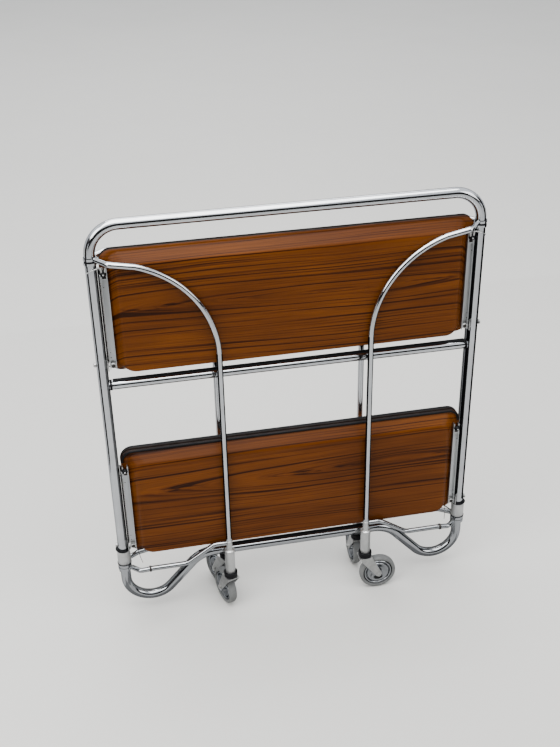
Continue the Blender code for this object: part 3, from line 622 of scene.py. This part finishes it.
def gate_points(side, face):
    """Centre line of a gate tube."""
    first = math.asin((knee_in - (gate_reach - gate_arc_radius)) / gate_arc_radius)
    angles = [first + (math.pi / 2 - first) * step / arc_steps for step in range(arc_steps + 1)]
    arc = [(gate_reach - gate_arc_radius * (1 - math.sin(angle)), gate_plane,
            gate_arc_z + gate_arc_radius * math.cos(angle)) for angle in angles]
    if face < 0:
        start = neck_direction * (band_inner + neck_sink)
        neck, radii = [(start.x, start.y, front_neck_z)], [knee_bend]
    else:
        neck = [(0.0, band_inner, rear_neck_z), (0.0, stile_offset, rear_neck_z)]
        radii = [stile_bend, knee_bend]
    corners = [inward(side, face, point) for point in neck + [arc[0], arc[4]]]
    rest = [inward(side, face, point) for point in arc[5:] + [(gate_reach, gate_plane, gate_end_z)]]
    return rounded_line(corners, radii, 8) + rest


# %% Draw the gates
for corner, face, side in quarters:
    gate = bmesh.new()
    points = gate_points(side, face)
    shares = [neck_share] + [min(1.0, taper_share + taper_step * index)
                             for index in range(1, len(points))]
    draw_bar(gate, points, gate_radius, 28, shares)
    band_z = front_neck_z if face < 0 else rear_neck_z
    turn_piece(gate, ring_section(band_inner, band_outer, band_z, band_half),
               Matrix.Translation((side * upright_x, 0, 0)), 48)
    finish_piece(f"{corner}_gate_bow", gate, chrome, f"{corner}_gate",
                 [f"{corner}_gate_tube"])
    if face > 0:
        # The stile is chrome drawn dark: painted shade of the gap behind the upright.
        stile = bmesh.new()
        draw_bar(stile, [Vector((side * upright_x, stile_offset, z)) for z in stile_heights],
                 stile_radius, 24)
        finish_piece(f"{corner}_stile", stile, stile_shade_chrome, f"{corner}_gate")
print("gates drawn")

# %% [markdown]
# ## Lower arms
# A thinner rod runs from an eye round the foot of the upright to the caster, level at first and
# then up to meet the gate tube. It pivots with the gate, so it rides on the gate's body.

# %% Draw the lower arms
arm_radius, arm_neck_share, eye_outer, eye_inner, eye_half = 0.0045, 0.6, 0.0122, 0.0093, 0.0030
front_eye_z, rear_eye_z, arm_level_z, arm_high_z = 0.1155, 0.1085, 0.1185, 0.152
neck_reaches, arm_start = (0.0108, 0.0136), 0.019
arm_level_from, arm_level_to, arm_rise_to, arm_bend = 0.050, 0.111, 0.161, 0.022
sleeve_radius = 0.0053


def arm_points(side, face):
    """Centre line of a lower arm and its thickness shares."""
    across, along = neck_direction if face < 0 else (0.0, 1.0)
    eye_z = front_eye_z if face < 0 else rear_eye_z
    near = [(across * reach, along * reach, eye_z) for reach in neck_reaches]
    far = [(across * arm_start, along * arm_start, eye_z),
           (knee_in, gate_plane, (eye_z + arm_level_z) / 2),
           (arm_level_from, gate_plane, arm_level_z), (arm_level_to, gate_plane, arm_level_z),
           (arm_rise_to, gate_plane, arm_high_z),
           (gate_reach - sleeve_radius, gate_plane, arm_high_z)]
    near_points = [inward(side, face, point) for point in near]
    far_points = rounded_line([inward(side, face, point) for point in far],
                              [knee_bend, knee_bend, arm_bend, arm_bend], 8)
    return near_points + far_points, [arm_neck_share] * 2 + [1.0] * len(far_points)


for corner, face, side in quarters:
    arm = bmesh.new()
    points, shares = arm_points(side, face)
    draw_bar(arm, points, arm_radius, 24, shares)
    eye_z = front_eye_z if face < 0 else rear_eye_z
    turn_piece(arm, ring_section(eye_inner, eye_outer, eye_z, eye_half),
               Matrix.Translation((side * upright_x, 0, 0)), 48)
    # The arms take the darker chrome: painted shade.
    finish_piece(f"{corner}_arm_rod", arm, rail_chrome, f"{corner}_gate",
                 [f"{corner}_lower_arm"])
print("lower arms drawn")

# %% [markdown]
# ## Casters
# Each gate ends in a pale turned socket. Under it a black cup and a sheet fork swivel with the
# wheel, a grey tyre on a chrome disc with pressed rings. Wheels are turned round their own axle
# and set at the angle at which each came to rest.

# %% Caster outlines
headings = {"front_left": 108, "front_right": 0, "rear_left": 118, "rear_right": 90}
trail, tyre_radius, axle_z = 0.025, 0.0347, 0.03478
socket_outline = [
    (0.0, 0.1560), (0.0048, 0.1565), (0.0053, 0.1560), (0.0053, 0.1372), (0.0083, 0.1365),
    (0.0090, 0.1357), (0.0090, 0.0872), (0.0084, 0.0850), (0.0070, 0.0842), (0.0044, 0.0842),
    (0.0044, 0.1095), (0.0, 0.1095)]
cup_outline = [
    (0.0044, 0.0832), (0.0095, 0.0832), (0.0095, 0.0865), (0.0117, 0.0865), (0.0124, 0.0858),
    (0.0125, 0.0845), (0.0120, 0.0764), (0.0114, 0.0758), (0.0044, 0.0758), (0.0044, 0.0832)]
tyre_half = [
    (0.0281, 0.0050), (0.0286, 0.0064), (0.0296, 0.0069), (0.0318, 0.0070), (0.0331, 0.0066),
    (0.0340, 0.0057), (0.0345, 0.0042), (tyre_radius, 0.0018)]
disc_half = [
    (0.0034, 0.0092), (0.0070, 0.0092), (0.0075, 0.0088), (0.0076, 0.0030), (0.0086, 0.0016),
    (0.0100, 0.0014), (0.0125, 0.0026), (0.0165, 0.0050), (0.0190, 0.0060), (0.0204, 0.0060),
    (0.0212, 0.0052), (0.0219, 0.0018), (0.0226, 0.0018), (0.0233, 0.0052), (0.0242, 0.0060),
    (0.0256, 0.0062), (0.0264, 0.0056), (0.0268, 0.0044), (0.0277, 0.0040)]
seam_half = [(0.0265, 0.0048), (0.0284, 0.0048)]
axle_half = [(0.0, 0.0142), (0.0036, 0.0142), (0.0042, 0.0137), (0.0042, 0.0118), (0.0030, 0.0118)]


def both_ways(half, closed):
    """An outline and its mirror image, closed if it is a ring."""
    return half + [(radius, -height) for radius, height in reversed(half)] + half[:closed]


# %% Turn the casters
caster_steps = 64
for corner, face, side in quarters:
    swivel = Matrix.Translation(inward(side, face, (gate_reach, gate_plane, 0.0)))
    turned = swivel @ Matrix.Rotation(math.radians(headings[corner]), 4, "Z")
    hub = turned @ Matrix.Translation((trail, 0, axle_z)) @ Matrix.Rotation(math.pi / 2, 4, "X")
    for piece_name, node, outline, place, finish, body, slot in (
            ("socket_sleeve", "socket", socket_outline, swivel, satin, "gate", "satin_metal"),
            ("swivel_ring", "swivel_cup", cup_outline, turned, black_plastic, "caster",
             "black_plastic"),
            ("wheel_axle", "axle", both_ways(axle_half, 0), hub, sheet_steel, "caster", "zinc"),
            # The disc's darker chrome is partly painted shade.
            ("wheel_dish", "wheel_disc", both_ways(disc_half, 1), hub, disc_chrome, "wheel",
             "chrome_tube"),
            ("wheel_tyre", "tyre", both_ways(tyre_half, 1), hub, rubber, "wheel", "grey_tyre"),
            ("rim_seam", "", both_ways(seam_half, 1), hub, black_plastic, "wheel", "grey_tyre")):
        turned_bm = bmesh.new()
        turn_piece(turned_bm, outline, place, caster_steps)
        finish_piece(f"{corner}_{piece_name}", turned_bm, finish, f"{corner}_{body}",
                     [f"{corner}_{node}"] if node else [])
print("casters turned:", list(headings))

# %% [markdown]
# ## Plain CAD pieces
# Channels, hinge brackets and forks already have their real shape. They keep it, and get a finish
# and a fine bevel so that their edges catch the light. Their mesh is loose triangles, so a Weld
# modifier joins it first.

# %% Finish the CAD pieces that stay
edge_width = 0.00025
for name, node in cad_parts.items():
    if node.hide_render:
        continue
    node.data.materials.clear()
    node.data.materials.append(zinc if "end_strip" in name else sheet_steel)
    weld = node.modifiers.new("weld", "WELD")
    weld.merge_threshold = joined_within
    bevel = node.modifiers.new("soft_edge", "BEVEL")
    bevel.width, bevel.segments, bevel.limit_method = edge_width, 2, "ANGLE"
    bevel.angle_limit = math.radians(40)
    print("finished:", name)

# %% [markdown]
# ## Small fastenings
# A dark screw on a pale washer sits at the foot of each channel, with rivets above it. The front
# channels have a black snap knob with a bright pin near the top. A pinch screw and a bolt tip
# stand out at each side, a clip holds each front lower arm, and thin wires, stay rods and springs
# run beside the uprights. All are too small for the solid model.

# %% Screws, rivets and pinch screws
strip_face_y, strip_middle_x, screw_up, washer_seat = 0.0115, 0.2977, 0.0105, 0.0006
screw_head, screw_height, rivet_height, rivet_shift = 0.0034, 0.0016, 0.0005, 0.0022
rivets = ((0.026, 0.0010), (0.035, 0.0008), (0.150, 0.0010))
washer_outline = [(0.0, 0.0007), (0.0040, 0.0007), (0.0044, 0.0003), (0.0044, 0.0), (0.0, 0.0)]
level_heights = {"upper": 0.521, "lower": 0.151}
# Each row: x, z, head and height of a screw that points outward.
side_screws = ((upright_x + tube_radius - 0.0002, 0.1000, 0.0020, 0.0024),
               (0.3288, 0.5305, 0.0034, 0.0006))


def screw_outline(head, height):
    """A domed head on a flat seat."""
    return [(0.0, height), (head * 0.5, height * 0.93), (head * 0.85, height * 0.62),
            (head, height * 0.2), (head, 0.0), (0.0, 0.0)]


for level_name, level_z in level_heights.items():
    for corner, face, side in quarters:
        out = Matrix.Rotation(-face * math.pi / 2, 4, "X")
        washer, screws = bmesh.new(), bmesh.new()
        low = Matrix.Translation((side * strip_middle_x, face * strip_face_y,
                                  level_z + screw_up)) @ out
        turn_piece(washer, washer_outline, low, 32)
        turn_piece(screws, screw_outline(screw_head, screw_height),
                   low @ Matrix.Translation((0, 0, washer_seat)), 28)
        for up, radius in rivets:
            seat = Matrix.Translation((side * (strip_middle_x + rivet_shift),
                                       face * strip_face_y, level_z + up)) @ out
            turn_piece(screws, screw_outline(radius, rivet_height), seat, 16)
        finish_piece(f"{level_name}_{corner}_washer", washer, satin, "frame")
        finish_piece(f"{level_name}_{corner}_screws", screws, screw_steel, "frame")

for side_name, side in sides.items():
    pinch = bmesh.new()
    for x, z, head, height in side_screws:
        outward = Matrix.Translation((side * x, 0, z)) @ Matrix.Rotation(side * math.pi / 2, 4, "Y")
        turn_piece(pinch, screw_outline(head, height), outward, 24)
    finish_piece(f"pinch_screws_{side_name}", pinch, screw_steel, "frame")
print("screws set")

# %% Black strips of painted shade: in the gap beside each channel and on the rims of the lower leaves
gap_shade_inner_x, gap_shade_outer_x, gap_shade_half, gap_shade_soft = 0.3038, 0.3066, 0.0062, 0.0007
gap_shade_heights = {"upper": (0.5330, 0.6980), "lower": (0.1640, 0.3270)}
rim_bend = 0.018
# Each row: half width, foot, top, place in depth, radius and sides of a bent strip of painted
# shade.
rims = {"lower_rim_shade": (0.3000, 0.3330, 0.3570, 0.0078, 0.0040, 18),
        "near_rim_shade": (0.3010, 0.3380, 0.3578, -0.0050, 0.0022, 16)}
for level_name, (low_z, high_z) in gap_shade_heights.items():
    for side_name, side in sides.items():
        near_x, far_x = sorted((side * gap_shade_inner_x, side * gap_shade_outer_x))
        gap_shade = bmesh.new()
        add_block(gap_shade, (near_x, -gap_shade_half, low_z), (far_x, gap_shade_half, high_z))
        soften(gap_shade, gap_shade_soft)
        # Painted shade of the gap between the channel and the upright.
        finish_piece(f"channel_gap_shade_{level_name}_{side_name}", gap_shade, black_plastic, "frame")
for rim_name, (half_width, foot_z, top_z, depth, radius, rim_sides) in rims.items():
    rim = bmesh.new()
    rim_line = [Vector((x, depth, z)) for x, z in (
        (-half_width, foot_z), (-half_width, top_z), (half_width, top_z), (half_width, foot_z))]
    draw_bar(rim, rounded_line(rim_line, [rim_bend] * 2, 10), radius, rim_sides)
    # Painted shade of the gap between the two lower leaves.
    finish_piece(rim_name, rim, black_plastic, "frame")
print("edging laid")

# %% Wires, knobs, stay rods and clips
hook_line = [(0.2982, -0.0100, 0.6985), (0.2982, -0.0100, 0.7035), (0.3052, -0.0112, 0.7035),
             (0.3160, -0.0107, 0.7000), (0.3235, -0.0076, 0.6950)]
hook_bends, spring_bend = [0.002, 0.003, 0.006], 0.01
prongs = [[(0.2958, -0.0128, 0.6955), (0.2946, -0.0138, 0.7050)],
          [(0.3004, -0.0128, 0.6955), (0.3016, -0.0138, 0.7050)]]
stay_line = [(0.3048, 0.0, 0.1294), (0.2740, 0.0, 0.1580)]
spring_line = [(0.2900, 0.0, 0.1432), (0.2872, -0.0100, 0.1330), (0.2840, -0.0185, 0.1262)]
wire_radius, prong_radius, stay_radius, spring_radius = 0.0009, 0.0016, 0.0012, 0.0005
knob_x, knob_y, knob_heights, pin_seat = 0.2985, -0.0113, {"upper": 0.6938, "lower": 0.3238}, 0.0050
knob_size, pin_size, clip_screw_size = (0.0052, 0.0056), (0.0015, 0.0016), (0.0012, 0.0022)
clip_outline = ring_section(0.0046, 0.0056, 0.0, 0.0018)
clip_reach, clip_drop, clip_screw_drop = 0.0440, 0.0002, 0.0050
foot_near, foot_far, foot_soft = (0.2800, -0.0012, 0.1500), (0.3030, 0.0012, 0.1568), 0.0006


def on_side(side, points):
    """Points given for the right-hand side, put on one side."""
    return [Vector((side * x, y, z)) for x, y, z in points]


for side_name, side in sides.items():
    wires = bmesh.new()
    draw_bar(wires, rounded_line(on_side(side, hook_line), hook_bends, 6), wire_radius, 12)
    for prong in prongs:
        draw_bar(wires, on_side(side, prong), prong_radius, 12)
    finish_piece(f"snap_wire_{side_name}", wires, satin, "frame")
    for level_name, knob_z in knob_heights.items():
        knob, pin = bmesh.new(), bmesh.new()
        knob_place = (Matrix.Translation((side * knob_x, knob_y, knob_z))
                      @ Matrix.Rotation(math.pi / 2, 4, "X"))
        turn_piece(knob, screw_outline(*knob_size), knob_place, 28)
        finish_piece(f"snap_knob_{level_name}_{side_name}", knob, black_plastic, "frame")
        turn_piece(pin, screw_outline(*pin_size),
                   knob_place @ Matrix.Translation((0, 0, pin_seat)), 20)
        finish_piece(f"snap_pin_{level_name}_{side_name}", pin, satin, "frame")
    spring = bmesh.new()
    draw_bar(spring, on_side(side, stay_line), stay_radius, 16)
    draw_bar(spring, rounded_line(on_side(side, spring_line), [spring_bend], 6), spring_radius, 10)
    finish_piece(f"stay_spring_{side_name}", spring, screw_steel, "frame")
    clip = bmesh.new()
    clip_place = Matrix.Translation(
        inward(side, -1, (clip_reach, gate_plane, arm_level_z - clip_drop)))
    turn_piece(clip, clip_outline, clip_place @ Matrix.Rotation(math.pi / 2, 4, "Y"), 28)
    turn_piece(clip, screw_outline(*clip_screw_size),
               clip_place @ Matrix.Translation((0, 0, -clip_screw_drop))
               @ Matrix.Rotation(math.pi, 4, "X"), 16)
    finish_piece(f"arm_clip_{side_name}", clip, screw_steel, f"front_{side_name}_gate")
    tab = bmesh.new()
    near_x, far_x = sorted((side * foot_near[0], side * foot_far[0]))
    add_block(tab, (near_x, *foot_near[1:]), (far_x, *foot_far[1:]))
    soften(tab, foot_soft)
    finish_piece(f"leaf_foot_{side_name}", tab, zinc, "frame")
print("wires, knobs, stays and clips drawn")

# %% [markdown]
# ## Floor, light and surroundings
# Chrome shows what is round it, so the surroundings matter as much as the lamps. The sky above is
# white, the floor is pale, and a low dark band near the horizon gives each tube its thin black
# line. Soft lamps give the leaves their light upper slopes, wash the floor and cast a soft shadow.

# %% Pale floor
floor_half, floor_drop = 8.0, 0.0002
floor_mesh = bmesh.new()
bmesh.ops.create_grid(floor_mesh, x_segments=8, y_segments=8, size=floor_half)
floor = mesh_object("floor", floor_mesh, handled_material(
    "pale_floor", (0.612, 0.600, 0.566), 0.0, 0.55, 0.75, 1.5, 60.0, 0.0004, 0.03))
floor.location.z = -floor_drop
print("floor laid")

# %% Surroundings
sky_colour, band_colour, sky_strength = (0.92, 0.95, 1.0, 1.0), (0.015, 0.015, 0.018, 1.0), 1.36
band_from, band_full, band_fades, band_ends, share_behind = -0.06, 0.0, 0.30, 0.50, 0.35
world = bpy.data.worlds.new("surroundings")
bpy.context.scene.world = world
world.use_nodes = True
sky = world.node_tree
direction = add(sky, "ShaderNodeTexCoord", output=0)
heights = add(sky, "ShaderNodeSeparateXYZ", n0=direction).node.outputs
low_band = maths(sky, "MULTIPLY", ranged(sky, heights[2], band_from, band_full),
                 ranged(sky, heights[2], band_ends, band_fades))
viewer_side = ranged(sky, heights[1], 0.25, -0.1, share_behind, 1.0)
band_share = maths(sky, "MULTIPLY", low_band, viewer_side)
background = sky.nodes["Background"]
sky.links.new(mixed(sky, band_share, sky_colour, band_colour), background.inputs["Color"])
background.inputs["Strength"].default_value = sky_strength
print("sky and low band set")

# %% Soft lamps
# Each row: place, target, size and power of a square lamp.
lamps = {"overhead": ((-0.2, -0.4, 2.6), (0, 0, 0.3), 2.4, 104),
         "left_window": ((-2.2, -1.2, 1.9), (0, 0, 0.4), 1.6, 37),
         "back_wash": ((0.0, 3.2, 3.0), (0.0, 2.6, 0.0), 3.0, 75),
         "right_fill": ((2.0, -1.4, 1.6), (0, 0, 0.4), 1.4, 17)}
for lamp_name, (place, target, size, power) in lamps.items():
    lamp_data = bpy.data.lights.new(lamp_name, "AREA")
    lamp_data.size, lamp_data.energy = size, power
    lamp = bpy.data.objects.new(lamp_name, lamp_data)
    lamp.location = place
    lamp.rotation_euler = (Vector(target) - Vector(place)).to_track_quat("-Z", "Y").to_euler()
    bpy.context.scene.collection.objects.link(lamp)
print("lamps set:", list(lamps))

# %% [markdown]
# Cards beside chrome draw its edges: black ones for its dark lines, dim and grey ones where a
# shaded floor would show. They are seen only in reflections: they hide nothing, cast no shadow
# and take no light from the floor.

# %% Cards seen in reflections
papers = {}
for paper_name, colour in {"black": (0.01, 0.01, 0.01), "grey": (0.38, 0.38, 0.375),
                           "dim": (0.15, 0.15, 0.15)}.items():
    papers[paper_name] = handled_material(f"{paper_name}_card", colour, 0.0, 0.8, 0.95, 5.0, 200.0,
                                          0.0001)
    shader_of(papers[paper_name]).inputs["Specular IOR Level"].default_value = 0.0
near, thin = 0.0016, 0.0006
cards = {"left": ("black", (-0.805, -0.30, 0.0), (-0.795, 0.06, 0.90)),
         "right": ("black", (0.795, -0.26, 0.0), (0.805, 0.10, 0.90)),
         "behind_camera": ("black", (-3.0, -2.62, 0.0), (3.0, -2.60, 1.75)),
         "grey_floor": ("grey", (-2.5, -2.5, 0.0002), (2.5, 1.2, 0.0008)),
         "left_upright": ("dim", (-0.3056, -0.0134, 0.155), (-0.3050, 0.0060, 0.700)),
         "right_upright": ("black", (0.3266, -0.0134, 0.155), (0.3272, 0.0060, 0.720)),
         "right_inner": ("black", (0.3048, -0.0134, 0.155), (0.3054, 0.0060, 0.700))}
for label, half_length, bar_z, bar_radius in (
        ("hoop", 0.270, hoop_top_z, tube_radius), ("middle", 0.300, mid_bar_z, mid_bar_radius),
        ("foot", 0.160, foot_bar_z, tube_radius)):
    top = bar_z - bar_radius - near
    cards[f"under_{label}"] = ("black", (-half_length, -0.006, top - thin),
                               (half_length, 0.012, top))
for side_name, side in sides.items():
    near_x, far_x = sorted((side * 0.190, side * 0.370))
    cards[f"below_loop_{side_name}"] = ("dim", (near_x, -0.100, 0.0012), (far_x, 0.060, 0.0018))
    cards[f"behind_loop_{side_name}"] = ("grey", (near_x, 0.0400, 0.010), (far_x, 0.0406, 0.150))
    for label, turned_to in (("outer", side), ("inner", -side)):
        x = side * (upright_x - gate_reach) + turned_to * (gate_radius + near)
        cards[f"leg_{side_name}_{label}"] = ("black", (x - thin / 2, -gate_plane - 0.0060, 0.160),
                                             (x + thin / 2, -gate_plane + 0.0060, gate_arc_z))
for card_name, (paper_name, low_corner, high_corner) in cards.items():
    card_bm = bmesh.new()
    add_block(card_bm, low_corner, high_corner)
    card = mesh_object(f"card_{card_name}", card_bm, papers[paper_name])
    card.visible_camera = card.visible_diffuse = card.visible_shadow = False
print("cards set:", len(cards))
